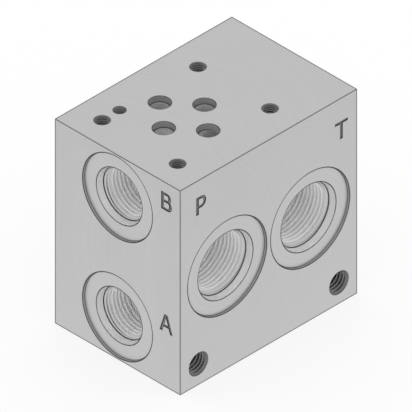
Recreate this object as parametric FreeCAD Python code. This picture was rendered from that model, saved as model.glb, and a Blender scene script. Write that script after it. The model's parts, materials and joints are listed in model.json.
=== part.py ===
import FreeCAD, Part
import math
import os

# One-station hydraulic manifold block, millimetres.
# +Z is the valve pad, -X the face with work ports A and B, -Y and +Y the two ends with P and T.
# The origin is the centre of the underside.

# Block, sawn from bar and milled square
block_width = 76.2
block_depth = 53.975
block_height = 76.2
edge_break = 0.3

# Valve pad, four-port pattern of size 03: places count along and across from the first bolt hole
valve_bolts_along = 40.5
near_bolts_across = 31.0
far_bolts_across = 32.5
far_bolts_to_work_face = 9.65
pressure_tank_along = 21.5
pressure_tank_spacing = 20.8
work_a_along = 12.7
work_b_along = 30.2
locating_pin_along = 33.0
locating_pin_across_centre = 16.25

# Holes in the valve pad
pad_port_diameter = 7.14
pad_port_depth = 2.1
passage_diameter = 5.6
valve_thread_diameter = 5.0
valve_tap_drill = 4.2
valve_hole_depth = 16.0
locating_pin_diameter = 4.0
locating_pin_depth = 6.0

# Threaded O-ring ports on the sides. The wide spotface is cut first, then the sealing cone.
spotface_depth = 0.762
seal_cone_depth = 2.4
seal_cone_angle = 15.0
end_port_spotface = 34.0
end_port_cone_mouth = 23.8
end_port_tap_drill = 20.5
end_port_drill_depth = 18.0
work_port_spotface = 30.0
work_port_cone_mouth = 19.8
work_port_tap_drill = 16.5
work_port_drill_depth = 17.0

# Where the side ports are
end_ports_spacing = 35.72
end_ports_height = 38.1
work_b_below_pad = 15.875
work_a_above_base = 15.875

# Bores inside: a gallery joins the two pressure ports, another the two tank ports
gallery_diameter = 17.5
work_pilot_diameter = 11.0
pilot_past_passage = 0.4

# Tapped mounting holes, a pair near the base of each end
mounting_holes_spacing = 60.46
mounting_holes_height = 7.87
mounting_thread_diameter = 8.0
mounting_tap_drill = 6.8
mounting_hole_depth = 14.0

# Cutting tools
drill_point_angle = 118.0
thread_chamfer_margin = 0.15
rim_break = 0.12
tool_overshoot = 2.0

UP = FreeCAD.Vector(0, 0, 1)
DOWN = FreeCAD.Vector(0, 0, -1)
INTO_WORK_FACE = FreeCAD.Vector(1, 0, 0)
INTO_FRONT = FreeCAD.Vector(0, 1, 0)
INTO_REAR = FreeCAD.Vector(0, -1, 0)

work_face_x = -block_width / 2
front_y = -block_depth / 2
rear_y = block_depth / 2


def point_height(radius):
    """Height of a drill's conical point."""
    return radius / math.tan(math.radians(drill_point_angle / 2))


def pad_point(along, across_centre):
    """A place on the valve pad: along is counted from the first bolt holes towards the work face."""
    first_bolts_x = work_face_x + far_bolts_to_work_face + valve_bolts_along
    return FreeCAD.Vector(first_bolts_x - along, across_centre, block_height)


def turned_cutter(profile, mouth, inwards):
    """The space that a hole takes: its (radius, depth) profile turned about the hole's axis."""
    first_radius = profile[0][0]
    outline = [(0, -tool_overshoot), (first_radius, -tool_overshoot)] + profile
    outline.append((0, profile[-1][1] + point_height(profile[-1][0])))
    outline.append(outline[0])
    wire = Part.makePolygon([FreeCAD.Vector(radius, 0, depth) for radius, depth in outline])
    cutter = Part.Face(wire).revolve(FreeCAD.Vector(0, 0, 0), UP, 360)
    cutter.Placement = FreeCAD.Placement(mouth, FreeCAD.Rotation(UP, inwards))
    return cutter


def port_profile(spotface, cone_mouth, tap_drill, drill_depth, bore, bore_end):
    """Spotface, sealing cone, thread lead-in and tap drill, then a narrower bore with a drilled shoulder."""
    spot_radius = spotface / 2
    cone_radius = cone_mouth / 2
    cone_end = spotface_depth + seal_cone_depth
    throat_radius = cone_radius - seal_cone_depth * math.tan(math.radians(seal_cone_angle))
    tap_radius = tap_drill / 2
    lead_in_end = cone_end + throat_radius - tap_radius
    drill_end = spotface_depth + drill_depth
    bore_radius = bore / 2
    shoulder_end = drill_end + point_height(tap_radius) - point_height(bore_radius)
    return [
        (spot_radius + rim_break, 0),
        (spot_radius, rim_break),
        (spot_radius, spotface_depth),
        (cone_radius, spotface_depth),
        (throat_radius, cone_end),
        (tap_radius, lead_in_end),
        (tap_radius, drill_end),
        (bore_radius, shoulder_end),
        (bore_radius, bore_end),
    ]


def tapped_profile(thread_diameter, tap_drill, depth):
    """Countersink a little wider than the thread, then the tap drill."""
    mouth_radius = thread_diameter / 2 + thread_chamfer_margin
    tap_radius = tap_drill / 2
    return [(mouth_radius, 0), (tap_radius, mouth_radius - tap_radius), (tap_radius, depth)]


def plain_profile(diameter, depth):
    """A hole of one diameter, sharp at its mouth."""
    return [(diameter / 2, 0), (diameter / 2, depth)]


def end_ports():
    """Pressure at -X and tank at +X on both ends. The two bores of a gallery meet in the middle."""
    cutters = []
    for side in (-1, 1):
        for end_y, inwards in ((front_y, INTO_FRONT), (rear_y, INTO_REAR)):
            mouth = FreeCAD.Vector(side * end_ports_spacing / 2, end_y, end_ports_height)
            profile = port_profile(
                end_port_spotface,
                end_port_cone_mouth,
                end_port_tap_drill,
                end_port_drill_depth,
                gallery_diameter,
                block_depth / 2,
            )
            cutters.append(turned_cutter(profile, mouth, inwards))
    return cutters


def work_port(along, height):
    """A work port, whose pilot runs on past the drilling that comes down from the valve pad."""
    mouth = FreeCAD.Vector(work_face_x, 0, height)
    passage_centre = pad_point(along, 0).x - work_face_x
    profile = port_profile(
        work_port_spotface,
        work_port_cone_mouth,
        work_port_tap_drill,
        work_port_drill_depth,
        work_pilot_diameter,
        passage_centre + passage_diameter / 2 + pilot_past_passage,
    )
    return turned_cutter(profile, mouth, INTO_WORK_FACE)


def pad_port(place):
    """A shallow port that the valve's O-ring seals round, with a drilled floor."""
    return turned_cutter(plain_profile(pad_port_diameter, pad_port_depth), place, DOWN)


def passage(start, end):
    """A drilling whose full diameter reaches from start to end."""
    return turned_cutter([(passage_diameter / 2, (end - start).Length)], start, end - start)


def straight_passage(place, end_height):
    """A drilling straight down from a pad port."""
    return passage(place, FreeCAD.Vector(place.x, place.y, end_height))


def tank_passage(place):
    """The slanting drilling from the tank port in the pad to the side of the tank gallery.

    Its axis passes the gallery's axis so that three quarters of the drill is inside the port's tap drill.
    """
    radius = passage_diameter / 2
    gallery_x = end_ports_spacing / 2
    drop = place.z - end_ports_height
    passing_distance = end_port_tap_drill / 2 - radius / 2
    start_x = place.x
    for _ in range(8):
        reach = math.hypot(gallery_x - start_x, drop)
        tilt = math.atan2(gallery_x - start_x, drop) - math.asin(passing_distance / reach)
        start_x = place.x - (pad_port_diameter / 2 - radius / math.cos(tilt))
    start = FreeCAD.Vector(start_x, place.y, place.z)
    length = math.sqrt(reach ** 2 - passing_distance ** 2)
    end = start + FreeCAD.Vector(math.sin(tilt), 0, -math.cos(tilt)) * length
    return passage(start, end)


def valve_pad_holes():
    """Everything that is machined from above: bolt holes, pin hole, ports and their passages."""
    half_pressure_tank = pressure_tank_spacing / 2
    pressure = pad_point(pressure_tank_along, half_pressure_tank)
    tank = pad_point(pressure_tank_along, -half_pressure_tank)
    work_a = pad_point(work_a_along, 0)
    work_b = pad_point(work_b_along, 0)
    cutters = [pad_port(place) for place in (pressure, tank, work_a, work_b)]
    cutters.append(straight_passage(pressure, end_ports_height))
    cutters.append(straight_passage(work_a, work_a_above_base))
    cutters.append(straight_passage(work_b, block_height - work_b_below_pad))
    cutters.append(tank_passage(tank))
    bolt_profile = tapped_profile(valve_thread_diameter, valve_tap_drill, valve_hole_depth)
    for along, across in ((0, near_bolts_across), (valve_bolts_along, far_bolts_across)):
        for side in (-1, 1):
            cutters.append(turned_cutter(bolt_profile, pad_point(along, side * across / 2), DOWN))
    pin_profile = plain_profile(locating_pin_diameter, locating_pin_depth)
    pin_place = pad_point(locating_pin_along, locating_pin_across_centre)
    cutters.append(turned_cutter(pin_profile, pin_place, DOWN))
    return cutters


def mounting_holes():
    """A tapped pair near the base of each end, kept short of work port A."""
    profile = tapped_profile(mounting_thread_diameter, mounting_tap_drill, mounting_hole_depth)
    cutters = []
    for side in (-1, 1):
        for end_y, inwards in ((front_y, INTO_FRONT), (rear_y, INTO_REAR)):
            mouth = FreeCAD.Vector(side * mounting_holes_spacing / 2, end_y, mounting_holes_height)
            cutters.append(turned_cutter(profile, mouth, inwards))
    return cutters


def milled_block():
    """The bare block with its sharp edges broken."""
    corner = FreeCAD.Vector(work_face_x, front_y, 0)
    block = Part.makeBox(block_width, block_depth, block_height, corner)
    return block.makeChamfer(edge_break, block.Edges)


def manifold_block():
    work_ports = [
        work_port(work_a_along, work_a_above_base),
        work_port(work_b_along, block_height - work_b_below_pad),
    ]
    cutters = end_ports() + work_ports + valve_pad_holes() + mounting_holes()
    return milled_block().cut(cutters[0].fuse(cutters[1:]))


os.makedirs("parts", exist_ok=True)
manifold_block().Solids[0].exportStep("parts/manifold_block.step")
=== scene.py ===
import json
import math

import bmesh
import bpy
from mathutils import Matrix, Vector


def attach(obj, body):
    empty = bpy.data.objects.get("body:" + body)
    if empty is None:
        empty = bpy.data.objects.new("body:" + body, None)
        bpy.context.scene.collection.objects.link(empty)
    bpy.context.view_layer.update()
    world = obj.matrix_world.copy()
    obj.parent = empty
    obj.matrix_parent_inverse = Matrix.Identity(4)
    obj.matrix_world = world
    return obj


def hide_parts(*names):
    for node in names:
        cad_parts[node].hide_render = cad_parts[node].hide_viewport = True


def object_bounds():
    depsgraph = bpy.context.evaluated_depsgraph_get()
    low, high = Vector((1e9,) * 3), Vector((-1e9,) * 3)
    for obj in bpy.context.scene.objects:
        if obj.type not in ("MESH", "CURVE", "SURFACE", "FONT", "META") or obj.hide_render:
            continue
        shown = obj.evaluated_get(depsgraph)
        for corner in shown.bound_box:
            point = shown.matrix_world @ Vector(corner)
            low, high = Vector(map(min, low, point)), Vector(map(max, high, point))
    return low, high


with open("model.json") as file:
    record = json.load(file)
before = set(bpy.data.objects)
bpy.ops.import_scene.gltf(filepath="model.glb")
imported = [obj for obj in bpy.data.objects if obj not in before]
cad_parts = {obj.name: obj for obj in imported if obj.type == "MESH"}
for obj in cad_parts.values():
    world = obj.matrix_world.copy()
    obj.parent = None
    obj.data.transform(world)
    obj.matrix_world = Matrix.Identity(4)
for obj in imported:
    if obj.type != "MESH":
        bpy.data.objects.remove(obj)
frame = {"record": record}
cad_low, cad_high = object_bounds()

MM = 0.001
LOW = cad_low / MM
HIGH = cad_high / MM
MOUNTS = {mount["name"]: mount for mount in frame["record"]["mounts"]}

# Camera: a true isometric view of the block's centre, with its distance and clipping in metres
IMAGE_WIDTH_PX = 412
PIXELS_PER_MM = 3.2863
CAMERA_DISTANCE = 0.6
CLIP_START = 0.01
CLIP_END = 10
TOWARDS_CAMERA = Vector((-1, -1, 1)).normalized()

# Floor: metres from its middle to each side, squares along a side, and the share of what the camera
# sees that is plain white. The rest is lit by the surround and keeps the block's shadow.
FLOOR_REACH = 2.0
FLOOR_SQUARES = 8
FLOOR_WHITE_SHARE = 0.72
FLOOR_WHITE_STRENGTH = 1.04
FLOOR_ALBEDO = 0.9
SURROUND_STRENGTH = 1.0

# Edges of the block, millimetres: a small round, and a border of each face beside it, both painted dark
# as shade so that each edge reads as a line. The outer border lies along the outline that the camera sees.
EDGE_ROUND = 0.08
EDGE_FACETS = 2
BORDER = 0.15
OUTER_BORDER = 0.34

# Rims of holes, millimetres: a slight slope that the deburring tool leaves, then a small break, both painted
# dark as shade.
# A slope reaches this far inside and outside the hole's radius, or at a tapped hole only outside.
# A foot is the width and height of the corner where a wall meets its floor, painted dark as shade.
# The cone rim is the band round the seal cone's mouth, painted dark as shade. Another lies above and below
# its throat.
PORT_RIM_SLOPE = (0.14, 0.26)
PAD_RIM_SLOPE = (0.1, 0.19)
TAPPED_RIM_SLOPE = 0.07
RIM_SLOPE_DEPTH = 0.025
RIM_BREAK = 0.04
PORT_FOOT = (0.13, 0.06)
PAD_FOOT = (0.2, 0.12)
CONE_RIM_OUTSIDE = 0.18
CONE_RIM_INSIDE = 0.16
CONE_RIM_DEPTH = 0.05
THROAT_ABOVE = 0.15
THROAT_BELOW = 0.2

# Threaded O-ring ports, millimetres
SPOTFACE_DEPTH = 0.762
SEAL_CONE_DEPTH = 2.4
SEAL_CONE_ANGLE = 15.0
PORT_THREAD_PITCH = 1.5
PORT_THREAD_LEAD = 0.15
END_PORT = {
    "spotface": 34.0,
    "cone_mouth": 23.8,
    "thread": 22.0,
    "drill_depth": 18.0,
    "thread_length": 15.5,
    "bore": 17.5,
    "segments": 128,
}
WORK_PORT = {
    "spotface": 30.0,
    "cone_mouth": 19.8,
    "thread": 18.0,
    "drill_depth": 17.0,
    "thread_length": 14.5,
    "bore": 11.0,
    "segments": 96,
}
GALLERY_OVERLAP = 0.01
PILOT_PAST_PASSAGE = 0.4

# Other holes, millimetres
PASSAGE_DIAMETER = 5.6
PASSAGE_ROUNDS = 8
VALVE_HOLE = {"thread": 5.0, "pitch": 0.8, "tap": 4.2, "depth": 16.0, "thread_end": 12.5, "segments": 48}
MOUNTING_HOLE = {"thread": 8.0, "pitch": 1.25, "tap": 6.8, "depth": 14.0, "thread_end": 11.0, "segments": 64}
THREAD_CHAMFER_MARGIN = 0.15
PIN_DEPTH = 6.0
HOLE_SEGMENTS = 64
DRILL_POINT_ANGLE = 118.0
CUTTER_OVERSHOOT = 2.0

# Thread form in degrees and shares of the pitch: widths of the groove at the bore and at its root, how
# far inside the bore its cutter starts, and where the thread of a tapped hole starts
THREAD_ANGLE = 60.0
GROOVE_MOUTH = 3 / 4
GROOVE_ROOT = 1 / 8
THREAD_OVERLAP = 0.1
TAPPED_THREAD_START = -0.25

# Turns of a thread that lie in its lead-in, turns over which it runs out, the share of its depth that is
# left at its end, and the corners of its cutter's profile
LEAD_IN_TURNS = 1.1
RUN_OUT_TURNS = 0.5
RUN_OUT_LEFT = 0.02
RIDGE_CORNERS = 4

# Engraved port letters, millimetres: widths of upright and level strokes, then the sloping rim, wall and
# floor. A place is the letter's lower left corner, across from the face's left edge and down from its top.
STEM = 1.22
BAR = 1.02
LETTER_RIM = 0.23
LETTER_FLOOR_INSET = 0.27
LETTER_RIM_DEPTH = 0.04
LETTER_DEPTH = 0.25
BOW_STEPS = 24
P_PLACE = (6.83, 12.84)
T_PLACE = (66.62, 15.17)
B_PLACE = (45.78, 10.42)
A_PLACE = (45.08, 55.8)

# Marks of cutting, millimetres: radius of the face mill, its feed a turn, how far its arcs wander from
# their line, and the pitch of turned rings
CUTTER_RADIUS = 50.0
CUTTER_FEED = 0.42
MARK_WANDER = 0.3
RING_PITCH = 0.3

# Noise, in cells a millimetre
WANDER_CELLS = 0.12
GRAIN_CELLS = 3.0
CLOUD_CELLS = 0.05
MILLED_STREAK_CELLS = 0.6
TURNED_STREAK_CELLS = 0.9

# Metal: sRGB levels of its faces, how much marks, streaks and clouds change them, and roughness
MILLED_LEVEL = 191.5
TURNED_LEVEL = 191
MARK_TONE = 0.012
STREAK_TONE = (0.94, 1.06)
CLOUD_TONE = (0.985, 1.015)
MILLED_ROUGHNESS = (0.3, 0.48)
TURNED_ROUGHNESS = (0.26, 0.42)
ROUGHNESS_SPREAD = 0.06

# Relief of metal: shares of marks and grain, strengths, and its full height in millimetres
MARK_RELIEF = 0.5
GRAIN_RELIEF = 0.7
MILLED_BUMP = 0.6
TURNED_BUMP = 0.3
BUMP_HEIGHT = 0.01

# A direction lies along an axis, or is upright, where its part on that axis is over this
ALONG_AXIS = 0.5
UPRIGHT = 0.9

# Faces that meet at less than this angle are shaded as one. Corners this close, in millimetres, are joined.
SMOOTH_BELOW_DEG = 9.0
WELD_DISTANCE = 0.001

# Material numbers, in the order of block_materials
MILLED, EDGE_SHADE, RIM_SHADE, END_TURNED, WORK_TURNED, CONE, THREAD, BORE = range(8)
TAPPED, PAD_WALL, PAD_FLOOR, PASSAGE, ENGRAVED = range(8, 13)


def srgb(level):
    """Linear value of an sRGB level from 0 to 255."""
    share = level / 255
    return share / 12.92 if share <= 0.04045 else ((share + 0.055) / 1.055) ** 2.4


class Nodes:
    """A short way to write a material's node tree."""

    def __init__(self, name):
        self.material = bpy.data.materials.new(name)
        self.material.use_nodes = True
        self.tree = self.material.node_tree
        self.tree.nodes.clear()

    def add(self, kind, properties=None, **inputs):
        made = self.tree.nodes.new(kind)
        for name, value in (properties or {}).items():
            setattr(made, name, value)
        for name, value in inputs.items():
            self.put(made.inputs[name.replace("_", " ")], value)
        return made

    def put(self, socket, value):
        if isinstance(value, bpy.types.NodeSocket):
            self.tree.links.new(value, socket)
        else:
            socket.default_value = value

    def math(self, operation, first, second=None):
        made = self.tree.nodes.new("ShaderNodeMath")
        made.operation = operation
        self.put(made.inputs[0], first)
        if second is not None:
            self.put(made.inputs[1], second)
        return made.outputs[0]

    def place(self):
        """Object coordinates in millimetres."""
        metres = self.add("ShaderNodeTexCoord").outputs["Object"]
        scaled = self.add("ShaderNodeVectorMath", {"operation": "SCALE"}, Vector=metres, Scale=1 / MM)
        return scaled.outputs[0]

    def split(self, vector):
        return self.add("ShaderNodeSeparateXYZ", Vector=vector).outputs

    def noise(self, vector, scale, detail=3.0):
        """Noise from 0 to 1 with this many cells a millimetre."""
        return self.add("ShaderNodeTexNoise", Vector=vector, Scale=scale, Detail=detail).outputs["Fac"]

    def bands(self, value, scale, detail=4.0):
        """Uneven bands from 0 to 1, with this many a millimetre."""
        in_line = {"noise_dimensions": "1D"}
        return self.add("ShaderNodeTexNoise", in_line, W=value, Scale=scale, Detail=detail).outputs["Fac"]

    def spread(self, value, low, high):
        """A value from 0 to 1 spread from low to high."""
        return self.add("ShaderNodeMapRange", Value=value, To_Min=low, To_Max=high).outputs["Result"]

    def metal(self, value, roughness, height, bump_strength, metallic=1.0):
        """Grey metal of this linear value, with a bump."""
        colour = self.add("ShaderNodeCombineColor", Red=value, Green=value, Blue=value).outputs["Color"]
        bump = self.add("ShaderNodeBump", Strength=bump_strength, Distance=BUMP_HEIGHT * MM, Height=height)
        shader = self.add(
            "ShaderNodeBsdfPrincipled",
            Base_Color=colour,
            Metallic=metallic,
            Roughness=roughness,
            Normal=bump.outputs["Normal"],
        )
        output = self.add("ShaderNodeOutputMaterial")
        self.tree.links.new(shader.outputs["BSDF"], output.inputs["Surface"])
        return self.material


def milled_face():
    """Face-milled aluminium: fine arcs left by the cutter, on every side of the block."""
    nodes = Nodes("milled_face")
    place = nodes.place()
    x, y, z = nodes.split(place)
    height = nodes.math("SUBTRACT", z, HIGH.z / 2)
    normal = nodes.split(nodes.add("ShaderNodeTexCoord").outputs["Normal"])
    on_top = nodes.math("GREATER_THAN", nodes.math("ABSOLUTE", normal[2]), ALONG_AXIS)
    on_work_side = nodes.math("GREATER_THAN", nodes.math("ABSOLUTE", normal[0]), ALONG_AXIS)
    across = nodes.add("ShaderNodeMix", Factor=on_top, A=height, B=y).outputs["Result"]
    along = nodes.add("ShaderNodeMix", Factor=on_work_side, A=x, B=y).outputs["Result"]
    across_square = nodes.math("MULTIPLY", across, across)
    arc_reach = nodes.math("SQRT", nodes.math("SUBTRACT", CUTTER_RADIUS**2, across_square))
    wander = nodes.spread(nodes.noise(place, WANDER_CELLS), -MARK_WANDER, MARK_WANDER)
    phase = nodes.math("ADD", nodes.math("SUBTRACT", along, arc_reach), wander)
    marks = nodes.math("SINE", nodes.math("MULTIPLY", phase, 2 * math.pi / CUTTER_FEED))
    grain = nodes.noise(place, GRAIN_CELLS, detail=4.0)
    cloud = nodes.noise(place, CLOUD_CELLS, detail=2.0)
    streaks = nodes.bands(phase, MILLED_STREAK_CELLS)
    shine = nodes.math("ADD", nodes.math("MULTIPLY", marks, MARK_TONE), nodes.spread(streaks, *STREAK_TONE))
    tone = nodes.math("MULTIPLY", shine, nodes.spread(cloud, *CLOUD_TONE))
    value = nodes.math("MULTIPLY", tone, srgb(MILLED_LEVEL))
    mark_relief = nodes.math("MULTIPLY", marks, MARK_RELIEF)
    relief = nodes.math("ADD", mark_relief, nodes.math("MULTIPLY", grain, GRAIN_RELIEF))
    return nodes.metal(value, nodes.spread(streaks, *MILLED_ROUGHNESS), relief, MILLED_BUMP)


def turned_face(name, across, up, centre_across, centre_up):
    """Turned metal with fine rings about each port's axis.

    The ports lie in mirror pairs, so places are folded about the block's middle.
    """
    nodes = Nodes(name)
    x, y, z = nodes.split(nodes.place())
    height = nodes.math("SUBTRACT", z, HIGH.z / 2)
    folded = {
        "x": nodes.math("ABSOLUTE", x),
        "y": y,
        "height": height,
        "folded_height": nodes.math("ABSOLUTE", height),
    }
    first = nodes.math("SUBTRACT", folded[across], centre_across)
    second = nodes.math("SUBTRACT", folded[up], centre_up)
    squares = nodes.math("ADD", nodes.math("MULTIPLY", first, first), nodes.math("MULTIPLY", second, second))
    radius = nodes.math("SQRT", squares)
    rings = nodes.math("SINE", nodes.math("MULTIPLY", radius, 2 * math.pi / RING_PITCH))
    streaks = nodes.bands(radius, TURNED_STREAK_CELLS)
    value = nodes.math("MULTIPLY", nodes.spread(streaks, *STREAK_TONE), srgb(TURNED_LEVEL))
    return nodes.metal(value, nodes.spread(streaks, *TURNED_ROUGHNESS), rings, TURNED_BUMP)


def cut_metal(name, low_level, high_level, roughness, metallic=1.0, grain_scale=1.5, bump=0.1):
    """Metal between a darkest and a lightest level, with grain: painted light near white in bores, painted
    shade on rims, edges and recesses.
    """
    nodes = Nodes(name)
    grain = nodes.noise(nodes.place(), grain_scale)
    value = nodes.spread(grain, srgb(low_level), srgb(high_level))
    rough = nodes.spread(grain, roughness - ROUGHNESS_SPREAD, roughness + ROUGHNESS_SPREAD)
    return nodes.metal(value, rough, grain, bump, metallic)


def block_materials():
    """In the order of the material numbers above. Cut metal has its darkest and its lightest sRGB level."""
    port_x = abs(MOUNTS["front_pressure_port"]["pos_m"][0]) / MM
    work_height = (MOUNTS["work_port_b"]["pos_m"][2] - MOUNTS["work_port_a"]["pos_m"][2]) / 2 / MM
    return [
        milled_face(),
        # Painted shade: dark edges, countersinks and thread lead-ins of tapped holes, drawn as lines.
        cut_metal("painted_edge_shade", 108, 120, roughness=0.48),
        # Painted shade: dark rims, wall feet and letter walls, drawn as lines.
        cut_metal("rim", 70, 80, roughness=0.5),
        turned_face("end_port_turned", "x", "height", port_x, 0.0),
        turned_face("work_port_turned", "y", "folded_height", 0.0, work_height),
        # Painted light: seal cone, threads, bores and passages are near white, to lift the shade deep inside
        # them.
        cut_metal("seal_cone", 244, 250, roughness=0.45, metallic=0.7),
        cut_metal("thread", 244, 248, roughness=0.55, metallic=0.6),
        cut_metal("bore", 244, 248, roughness=0.55, metallic=0.6),
        # Painted shade: tapped holes are darker than the faces, for the shade inside them.
        cut_metal("tapped_hole", 156, 166, roughness=0.5),
        cut_metal("pad_hole_wall", 184, 192, roughness=0.5, metallic=0.7),
        # Painted shade: the floors of the pad ports are darker than their walls.
        cut_metal("pad_port_floor", 145, 153, roughness=0.5, metallic=0.7),
        cut_metal("passage", 226, 234, roughness=0.55, metallic=0.6),
        # Painted shade: the floor of the engraving is darker than the face, beside its rougher finish.
        cut_metal("engraving", 130, 146, roughness=0.6, metallic=0.6, grain_scale=4.0, bump=0.3),
    ]


def mesh_object(name, points, faces, slots, materials):
    """A closed mesh in millimetres, made into an object in metres, with a material number for each face."""
    mesh = bpy.data.meshes.new(name)
    mesh.from_pydata([Vector(point) * MM for point in points], [], faces)
    for item in materials:
        mesh.materials.append(item)
    mesh.polygons.foreach_set("material_index", slots)
    work = bmesh.new()
    work.from_mesh(mesh)
    bmesh.ops.recalc_face_normals(work, faces=work.faces)
    work.to_mesh(mesh)
    work.free()
    made = bpy.data.objects.new(name, mesh)
    bpy.context.scene.collection.objects.link(made)
    return made


def cut(body, cutter):
    """Cuts the cutter from the body, whose new faces take the cutter's materials, and removes the cutter."""
    step = body.modifiers.new("cut", "BOOLEAN")
    step.operation = "DIFFERENCE"
    step.object = cutter
    step.solver = "MANIFOLD"
    step.material_mode = "TRANSFER"
    bpy.context.view_layer.update()
    made = bpy.data.meshes.new_from_object(body.evaluated_get(bpy.context.evaluated_depsgraph_get()))
    body.modifiers.clear()
    used = [body.data, cutter.data]
    body.data = made
    bpy.data.objects.remove(cutter)
    for mesh in used:
        bpy.data.meshes.remove(mesh)


def weld(body):
    """Joins the doubled corners that the cuts leave."""
    work = bmesh.new()
    work.from_mesh(body.data)
    bmesh.ops.remove_doubles(work, verts=work.verts, dist=WELD_DISTANCE * MM)
    work.to_mesh(body.data)
    work.free()


def axes_about(inwards):
    """Two directions square to a hole's axis."""
    across = Vector((0, 0, 1)) if abs(inwards.z) < UPRIGHT else Vector((1, 0, 0))
    across = (across - across.dot(inwards) * inwards).normalized()
    return across, inwards.cross(across)


def mouth_of(mount):
    """Where a mount's hole meets the block's face, in millimetres, and its direction into the block."""
    outwards = Vector(mount["axis"])
    mouth = Vector(mount["pos_m"]) / MM
    for i in range(3):
        if abs(outwards[i]) > ALONG_AXIS:
            mouth[i] = HIGH[i] if outwards[i] > 0 else LOW[i]
    return mouth, -outwards


def point_height(radius):
    """Height of a drill's conical point."""
    return radius / math.tan(math.radians(DRILL_POINT_ANGLE / 2))


def turned_cutter(rows, floor, mouth, inwards, segments, materials):
    """The space that a hole takes, with a drilled floor.

    Each row is a radius, a depth and the material of the wall that ends there.
    """
    across, up = axes_about(inwards)
    rings = [(rows[0][0], -CUTTER_OVERSHOOT, rows[0][2])] + rows
    points, faces, slots = [], [], []
    for radius, depth, _ in rings:
        for i in range(segments):
            angle = 2 * math.pi * i / segments
            outwards = across * math.cos(angle) + up * math.sin(angle)
            points.append(mouth + inwards * depth + outwards * radius)
    for k in range(1, len(rings)):
        for i in range(segments):
            j = (i + 1) % segments
            faces.append(((k - 1) * segments + i, (k - 1) * segments + j, k * segments + j, k * segments + i))
            slots.append(rings[k][2])
    faces.append(tuple(range(segments)))
    slots.append(floor)
    last_radius, last_depth, _ = rings[-1]
    apex = len(points)
    points.append(mouth + inwards * (last_depth + point_height(last_radius)))
    for i in range(segments):
        faces.append((apex - segments + i, apex - segments + (i + 1) % segments, apex))
        slots.append(floor)
    return mesh_object("cutter", points, faces, slots, materials)


def thread_cutter(mouth, inwards, thread, tap, pitch, start, end, segments, lead_in, wall, materials):
    """One thread groove as a ridge along a right-hand helix, which runs out at its inner end."""
    across, up = axes_about(inwards)
    inner = tap / 2 - THREAD_OVERLAP * pitch
    flank = math.tan(math.radians(THREAD_ANGLE / 2))
    inner_half = GROOVE_MOUTH * pitch / 2 + THREAD_OVERLAP * pitch * flank
    root_half = GROOVE_ROOT * pitch / 2
    count = int((end - start) / pitch * segments)
    points, faces, slots = [], [], []
    for i in range(count + 1):
        angle = 2 * math.pi * i / segments
        outwards = across * math.cos(angle) + up * math.sin(angle)
        middle = mouth + inwards * (start + pitch * i / segments)
        share = max(RUN_OUT_LEFT, min(1.0, (count - i) / (segments * RUN_OUT_TURNS)))
        root = inner + (thread / 2 - inner) * share
        half = inner_half + (root_half - inner_half) * share
        for radius, offset in ((inner, -inner_half), (root, -half), (root, half), (inner, inner_half)):
            points.append(middle + outwards * radius + inwards * offset)
        if i:
            first = RIDGE_CORNERS * i
            before = first - RIDGE_CORNERS
            for j in range(RIDGE_CORNERS):
                k = (j + 1) % RIDGE_CORNERS
                faces.append((before + j, before + k, first + k, first + j))
                slots.append(lead_in if i < LEAD_IN_TURNS * segments else wall)
    last = RIDGE_CORNERS * count
    faces += [(3, 2, 1, 0), (last, last + 1, last + 2, last + 3)]
    slots += [lead_in, wall]
    return mesh_object("thread", points, faces, slots, materials)


def rim_rows(radius, slope):
    """The broken rim of a hole of this radius, painted dark as shade."""
    inside, outside = slope
    return [
        (radius + outside, 0.0, RIM_SHADE),
        (radius - inside + RIM_BREAK, RIM_SLOPE_DEPTH, RIM_SHADE),
        (radius - inside, RIM_SLOPE_DEPTH + RIM_BREAK, RIM_SHADE),
    ]


def port_rows(port, tap_radius, turned, bore_end):
    """Rim, spotface, seal cone, throat, tap drill and the narrower bore of a threaded port."""
    spot = port["spotface"] / 2
    mouth = port["cone_mouth"] / 2
    flare = math.tan(math.radians(SEAL_CONE_ANGLE))
    throat = mouth - SEAL_CONE_DEPTH * flare
    cone_end = SPOTFACE_DEPTH + SEAL_CONE_DEPTH
    drill_end = SPOTFACE_DEPTH + port["drill_depth"]
    bore = port["bore"] / 2
    foot_width, foot_height = PORT_FOOT
    wall = spot - PORT_RIM_SLOPE[0]
    # The rim, the spotface's foot, the cone's mouth and the throat take the rim material, painted dark as
    # shade.
    return rim_rows(spot, PORT_RIM_SLOPE) + [
        (wall, SPOTFACE_DEPTH - foot_height, turned),
        (wall - foot_width, SPOTFACE_DEPTH, RIM_SHADE),
        (mouth + CONE_RIM_OUTSIDE, SPOTFACE_DEPTH, turned),
        (mouth - CONE_RIM_INSIDE, SPOTFACE_DEPTH + CONE_RIM_DEPTH, RIM_SHADE),
        # The seal cone, the tap drill's wall, the threads and the bore are near white: painted light against
        # the shade inside the port.
        (throat + THROAT_ABOVE * flare, cone_end - THROAT_ABOVE, CONE),
        (throat, cone_end, RIM_SHADE),
        (throat - THROAT_BELOW, cone_end + THROAT_BELOW, RIM_SHADE),
        (tap_radius, cone_end + throat - tap_radius, turned),
        (tap_radius, drill_end, THREAD),
        (bore, drill_end + point_height(tap_radius) - point_height(bore), BORE),
        (bore, bore_end, BORE),
    ]


def cut_port(body, mount, port, turned, bore_end, materials):
    """A threaded port with the narrower bore behind it."""
    mouth, inwards = mouth_of(mount)
    tap_radius = mount["dims"]["r_mm"]
    segments = port["segments"]
    rows = port_rows(port, tap_radius, turned, bore_end)
    cut(body, turned_cutter(rows, BORE, mouth, inwards, segments, materials))
    start = SPOTFACE_DEPTH + SEAL_CONE_DEPTH - PORT_THREAD_LEAD
    end = start + port["thread_length"]
    sizes = (port["thread"], 2 * tap_radius, PORT_THREAD_PITCH, start, end, segments)
    cut(body, thread_cutter(mouth, inwards, *sizes, turned, THREAD, materials))


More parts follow.
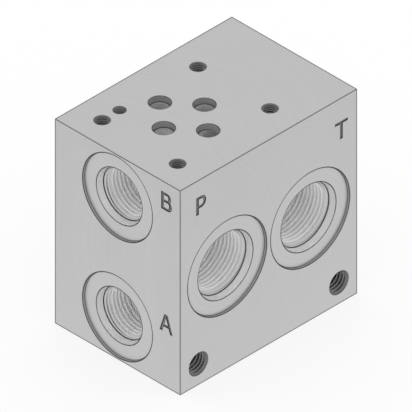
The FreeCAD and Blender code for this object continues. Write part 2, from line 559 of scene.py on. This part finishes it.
def cut_tapped_hole(body, mouth, inwards, hole, materials):
    """A countersunk blind hole with its thread."""
    tap_radius = hole["tap"] / 2
    mouth_radius = hole["thread"] / 2 + THREAD_CHAMFER_MARGIN
    # The rim, the countersink and the thread's lead-in are painted dark as shade; the wall is painted darker
    # than the faces as shade.
    rows = [
        (mouth_radius + TAPPED_RIM_SLOPE, 0.0, RIM_SHADE),
        (mouth_radius, RIM_SLOPE_DEPTH, RIM_SHADE),
        (tap_radius, mouth_radius - tap_radius, EDGE_SHADE),
        (tap_radius, hole["depth"], TAPPED),
    ]
    cut(body, turned_cutter(rows, TAPPED, mouth, inwards, hole["segments"], materials))
    start = TAPPED_THREAD_START * hole["pitch"]
    sizes = (hole["thread"], hole["tap"], hole["pitch"], start, hole["thread_end"], hole["segments"])
    cut(body, thread_cutter(mouth, inwards, *sizes, EDGE_SHADE, TAPPED, materials))


def cut_pin_hole(body, mouth, inwards, radius, materials):
    """The plain blind hole for the valve's locating pin."""
    rows = rim_rows(radius, PAD_RIM_SLOPE) + [(radius - PAD_RIM_SLOPE[0], PIN_DEPTH, PAD_WALL)]
    cut(body, turned_cutter(rows, PAD_WALL, mouth, inwards, HOLE_SEGMENTS, materials))


def cut_pad_port(body, mouth, inwards, radius, depth, materials):
    """A shallow port in the valve pad, with a corner round its floor painted dark as shade, and its floor
    painted darker than its wall as shade.
    """
    foot_width, foot_height = PAD_FOOT
    wall = radius - PAD_RIM_SLOPE[0]
    corner = wall - foot_width
    rows = rim_rows(radius, PAD_RIM_SLOPE) + [
        (wall, depth - foot_height, PAD_WALL),
        (corner, depth + point_height(wall) - point_height(corner), RIM_SHADE),
    ]
    cut(body, turned_cutter(rows, PAD_FLOOR, mouth, inwards, HOLE_SEGMENTS, materials))


def cut_passage(body, start, end, materials):
    """A drilling whose full diameter reaches from start to end."""
    rows = [(PASSAGE_DIAMETER / 2, (end - start).length, PASSAGE)]
    cut(body, turned_cutter(rows, PASSAGE, start, (end - start).normalized(), HOLE_SEGMENTS, materials))


def tank_passage_ends(mouth, pad_radius, gallery):
    """The slanting drilling from the tank port in the pad to the side of the tank gallery.

    Three quarters of its width meets the gallery's tap drill. Its start and its tilt depend on each
    other, so they are settled in a few rounds.
    """
    radius = PASSAGE_DIAMETER / 2
    passing = gallery["dims"]["r_mm"] - radius / 2
    gallery_x, _, gallery_z = Vector(gallery["pos_m"]) / MM
    drop = mouth.z - gallery_z
    start_x = mouth.x
    for _ in range(PASSAGE_ROUNDS):
        reach = math.hypot(gallery_x - start_x, drop)
        tilt = math.atan2(gallery_x - start_x, drop) - math.asin(passing / reach)
        start_x = mouth.x - (pad_radius - radius / math.cos(tilt))
    start = Vector((start_x, mouth.y, mouth.z))
    length = math.sqrt(reach**2 - passing**2)
    return start, start + Vector((math.sin(tilt), 0, -math.cos(tilt))) * length


def border_width(normal, axis, side):
    """Width of the dark border of a face, painted shade beside the edge that it shares with one neighbour."""
    neighbour = Vector((0, 0, 0))
    neighbour[axis] = side
    outer = normal.dot(TOWARDS_CAMERA) > 0 > neighbour.dot(TOWARDS_CAMERA)
    return (OUTER_BORDER if outer else BORDER) * MM


def framed(work, face):
    """Divides a face of the block into a middle and a mitred border of painted edge shade."""
    centre = face.calc_center_median()
    normal = face.normal.copy()
    corners = list(face.verts)
    inner = []
    for corner in corners:
        place = corner.co.copy()
        for axis in range(3):
            if abs(normal[axis]) < ALONG_AXIS:
                side = math.copysign(1, place[axis] - centre[axis])
                place[axis] -= side * border_width(normal, axis, side)
        inner.append(work.verts.new(place))
    work.faces.remove(face)
    work.faces.new(inner).material_index = MILLED
    for i in range(4):
        j = (i + 1) % 4
        work.faces.new((corners[i], corners[j], inner[j], inner[i])).material_index = EDGE_SHADE


def bare_block(materials):
    """The block in metres before any hole is cut."""
    work = bmesh.new()
    bmesh.ops.create_cube(work, size=1)
    bmesh.ops.scale(work, verts=work.verts, vec=cad_high - cad_low)
    bmesh.ops.translate(work, verts=work.verts, vec=(cad_low + cad_high) / 2)
    # The rounds and every face's border take the dark edge material: painted shade that draws the edges as
    # lines.
    bmesh.ops.bevel(
        work,
        geom=list(work.edges),
        offset=EDGE_ROUND * MM,
        offset_type="OFFSET",
        segments=EDGE_FACETS,
        profile=0.5,
        affect="EDGES",
        material=EDGE_SHADE,
    )
    work.normal_update()
    for face in [face for face in work.faces if face.material_index == MILLED]:
        framed(work, face)
    bmesh.ops.recalc_face_normals(work, faces=work.faces)
    mesh = bpy.data.meshes.new("block_body")
    for item in materials:
        mesh.materials.append(item)
    work.to_mesh(mesh)
    work.free()
    body = bpy.data.objects.new("block_body", mesh)
    bpy.context.scene.collection.objects.link(body)
    return body


def bar(x0, z0, x1, z1):
    """The outline of a straight stroke for an inset, from its lower left to its upper right corner."""

    def outline(inset):
        return [
            (x0 + inset, z0 + inset),
            (x1 - inset, z0 + inset),
            (x1 - inset, z1 - inset),
            (x0 + inset, z1 - inset),
        ]

    return outline


def leg(low_x, high_x, width, height):
    """The outline of a slanting stroke for an inset. Both x are those of its left side."""
    slope = (high_x - low_x) / height
    square = math.hypot(1, slope)

    def outline(inset):
        left = low_x + slope * inset + inset * square
        far_left = high_x - slope * inset + inset * square
        span = width - 2 * inset * square
        top = height - inset
        return [(left, inset), (left + span, inset), (far_left + span, top), (far_left, top)]

    return outline


def bowl(left, right, low, high, bow):
    """The outline of a C-shaped stroke for an inset. Its round end is this wide."""
    turn = right - bow
    middle = (low + high) / 2
    angles = [math.pi * (i / BOW_STEPS - 0.5) for i in range(BOW_STEPS + 1)]

    def outline(inset):
        tall = (high - low) / 2 - inset
        wide = bow - inset
        inner_tall = (high - low) / 2 - BAR + inset
        inner_wide = bow - STEM + inset
        outside = [(turn + wide * math.cos(a), middle + tall * math.sin(a)) for a in angles]
        inside = [
            (turn + inner_wide * math.cos(a), middle + inner_tall * math.sin(a))
            for a in reversed(angles)
        ]
        start = left + inset
        ends = [(start, middle + inner_tall), (start, middle - inner_tall)]
        return [(start, middle - tall)] + outside + [(start, middle + tall), ends[0]] + inside + [ends[1]]

    return outline


# Each letter is a list of strokes, in millimetres from its lower left corner.
def letter_p(height=6.62, width=4.35, bowl_height=4.33, bow=2.08):
    return [bar(0, 0, STEM, height), bowl(STEM / 2, width, height - bowl_height, height, bow)]


def letter_t(height=6.67, width=5.5):
    middle = width / 2
    stem = bar(middle - STEM / 2, 0, middle + STEM / 2, height - BAR / 4)
    return [bar(0, height - BAR, width, height), stem]


def letter_b(height=6.6, width=4.64, upper_width=4.28, waist=3.49, upper_bow=1.6, lower_bow=1.75):
    upper = bowl(STEM / 2, upper_width, waist - BAR / 2, height, upper_bow)
    lower = bowl(STEM / 2, width, 0, waist + BAR / 2, lower_bow)
    return [bar(0, 0, STEM, height), upper, lower]


def letter_a(height=6.66, width=5.64, apex=1.44, foot=1.18, side=1.1, crossbar=1.85, thickness=0.95):
    slant = (width - apex) / 2
    left_leg = leg(0, slant, foot, height)
    right_leg = leg(width - foot, width - foot - slant, foot, height)
    return [left_leg, right_leg, bar(side, crossbar, width - side, crossbar + thickness)]


def engrave(body, strokes, corner, right, outwards, materials):
    """Cuts a letter, stroke by stroke, from its lower left corner.

    Each stroke has a sloping rim, a wall and a level floor.
    """
    levels = [
        (CUTTER_OVERSHOOT, 0.0),
        (0.0, 0.0),
        (-LETTER_RIM_DEPTH, LETTER_RIM),
        (-LETTER_DEPTH, LETTER_FLOOR_INSET),
    ]
    for stroke in strokes:
        count = len(stroke(0.0))
        points = [
            corner + right * x + Vector((0, 0, z)) + outwards * level
            for level, inset in levels
            for x, z in stroke(inset)
        ]
        faces = [tuple(range(count)), tuple(range(len(points) - count, len(points)))]
        # The floor takes the engraving's painted shade, and the rim and walls the rim's darker painted shade.
        slots = [ENGRAVED, ENGRAVED]
        for k in range(0, len(points) - count, count):
            for i in range(count):
                j = (i + 1) % count
                faces.append((k + i, k + j, k + count + j, k + count + i))
                slots.append(RIM_SHADE)
        cut(body, mesh_object("stroke", points, faces, slots, materials))


def engrave_letters(body, materials):
    """The four port letters, each beside its port."""
    front, work_side = Vector((0, -1, 0)), Vector((-1, 0, 0))
    along_front, along_work_side = Vector((1, 0, 0)), Vector((0, -1, 0))
    for letter, (across, down) in ((letter_p(), P_PLACE), (letter_t(), T_PLACE)):
        corner = Vector((LOW.x + across, LOW.y, HIGH.z - down))
        engrave(body, letter, corner, along_front, front, materials)
    for letter, (across, down) in ((letter_b(), B_PLACE), (letter_a(), A_PLACE)):
        corner = Vector((LOW.x, HIGH.y - across, HIGH.z - down))
        engrave(body, letter, corner, along_work_side, work_side, materials)


def cut_side_ports(body, materials):
    """The ports of both ends, whose bores meet in the middle as galleries, and the two work ports."""
    past_middle = (HIGH.y - LOW.y) / 2 + GALLERY_OVERLAP
    for end in ("front", "rear"):
        for line in ("pressure", "tank"):
            cut_port(body, MOUNTS[f"{end}_{line}_port"], END_PORT, END_TURNED, past_middle, materials)
    for letter in ("a", "b"):
        passage_x = MOUNTS[f"valve_work_{letter}_port"]["pos_m"][0] / MM
        reach = passage_x - LOW.x + PASSAGE_DIAMETER / 2 + PILOT_PAST_PASSAGE
        cut_port(body, MOUNTS[f"work_port_{letter}"], WORK_PORT, WORK_TURNED, reach, materials)


def cut_valve_pad(body, materials):
    """Ports, drillings, bolt holes and pin hole of the valve pad."""
    reached = {"pressure": "front_pressure_port", "work_a": "work_port_a", "work_b": "work_port_b"}
    for line in ("pressure", "tank", "work_a", "work_b"):
        sizes = MOUNTS[f"valve_{line}_port"]["dims"]
        mouth, inwards = mouth_of(MOUNTS[f"valve_{line}_port"])
        cut_pad_port(body, mouth, inwards, sizes["r_mm"], sizes["length_mm"], materials)
        if line == "tank":
            start, end = tank_passage_ends(mouth, sizes["r_mm"], MOUNTS["front_tank_port"])
        else:
            start, end = mouth, Vector((mouth.x, mouth.y, MOUNTS[reached[line]]["pos_m"][2] / MM))
        cut_passage(body, start, end, materials)
    mouth, inwards = mouth_of(MOUNTS["locating_pin_hole"])
    cut_pin_hole(body, mouth, inwards, MOUNTS["locating_pin_hole"]["dims"]["r_mm"], materials)
    for name in ("valve_bolts_near", "valve_bolts_far"):
        middle, inwards = mouth_of(MOUNTS[name])
        half_spacing = Vector((0, MOUNTS[name]["dims"]["spacing_y_mm"] / 2, 0))
        for mouth in (middle - half_spacing, middle + half_spacing):
            cut_tapped_hole(body, mouth, inwards, VALVE_HOLE, materials)


def cut_mounting_holes(body, materials):
    """A tapped pair near the base of each end."""
    for end in ("front", "rear"):
        for side in ("pressure", "tank"):
            mouth, inwards = mouth_of(MOUNTS[f"{end}_mounting_hole_{side}_side"])
            cut_tapped_hole(body, mouth, inwards, MOUNTING_HOLE, materials)


def make_block():
    """The whole visible block as one piece, in place of its CAD node."""
    materials = block_materials()
    body = bare_block(materials)
    cut_side_ports(body, materials)
    cut_valve_pad(body, materials)
    cut_mounting_holes(body, materials)
    engrave_letters(body, materials)
    weld(body)
    body.data.shade_smooth()
    body.data.set_sharp_from_angle(angle=math.radians(SMOOTH_BELOW_DEG))
    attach(body, "root")
    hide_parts("manifold_block")


def floor_white():
    """Mostly plain white to the camera, so that a soft shadow stays, and wholly so in reflections."""
    nodes = Nodes("floor_white")
    path = nodes.add("ShaderNodeLightPath").outputs
    mirrored = nodes.math("MAXIMUM", path["Is Glossy Ray"], path["Is Transmission Ray"])
    seen = nodes.math("MULTIPLY", path["Is Camera Ray"], FLOOR_WHITE_SHARE)
    plain_white = nodes.math("MAXIMUM", seen, mirrored)
    grey = (FLOOR_ALBEDO, FLOOR_ALBEDO, FLOOR_ALBEDO, 1)
    diffuse = nodes.add("ShaderNodeBsdfDiffuse", Color=grey).outputs[0]
    white = nodes.add("ShaderNodeEmission", Color=(1, 1, 1, 1), Strength=FLOOR_WHITE_STRENGTH).outputs[0]
    mix = nodes.add("ShaderNodeMixShader")
    for socket, value in zip(mix.inputs, (plain_white, diffuse, white)):
        nodes.put(socket, value)
    output = nodes.add("ShaderNodeOutputMaterial")
    nodes.put(output.inputs["Surface"], mix.outputs[0])
    return nodes.material


def make_floor():
    """A plain white floor under the block."""
    work = bmesh.new()
    bmesh.ops.create_grid(work, x_segments=FLOOR_SQUARES, y_segments=FLOOR_SQUARES, size=FLOOR_REACH)
    mesh = bpy.data.meshes.new("floor")
    work.to_mesh(mesh)
    work.free()
    floor = bpy.data.objects.new("floor", mesh)
    bpy.context.scene.collection.objects.link(floor)
    mesh.materials.append(floor_white())


def make_light():
    """A plain white surround."""
    world = bpy.data.worlds.new("studio")
    bpy.context.scene.world = world
    world.use_nodes = True
    background = world.node_tree.nodes["Background"]
    background.inputs["Color"].default_value = (1, 1, 1, 1)
    background.inputs["Strength"].default_value = SURROUND_STRENGTH


def make_camera():
    """A parallel view of the block's centre."""
    data = bpy.data.cameras.new("camera")
    data.type = "ORTHO"
    data.ortho_scale = IMAGE_WIDTH_PX / PIXELS_PER_MM * MM
    data.clip_start = CLIP_START
    data.clip_end = CLIP_END
    camera = bpy.data.objects.new("camera", data)
    bpy.context.scene.collection.objects.link(camera)
    camera.location = (cad_low + cad_high) / 2 + TOWARDS_CAMERA * CAMERA_DISTANCE
    camera.rotation_euler = (-TOWARDS_CAMERA).to_track_quat("-Z", "Y").to_euler()
    bpy.context.scene.camera = camera


bpy.context.scene.view_settings.view_transform = "Standard"
make_camera()
make_block()
make_floor()
make_light()
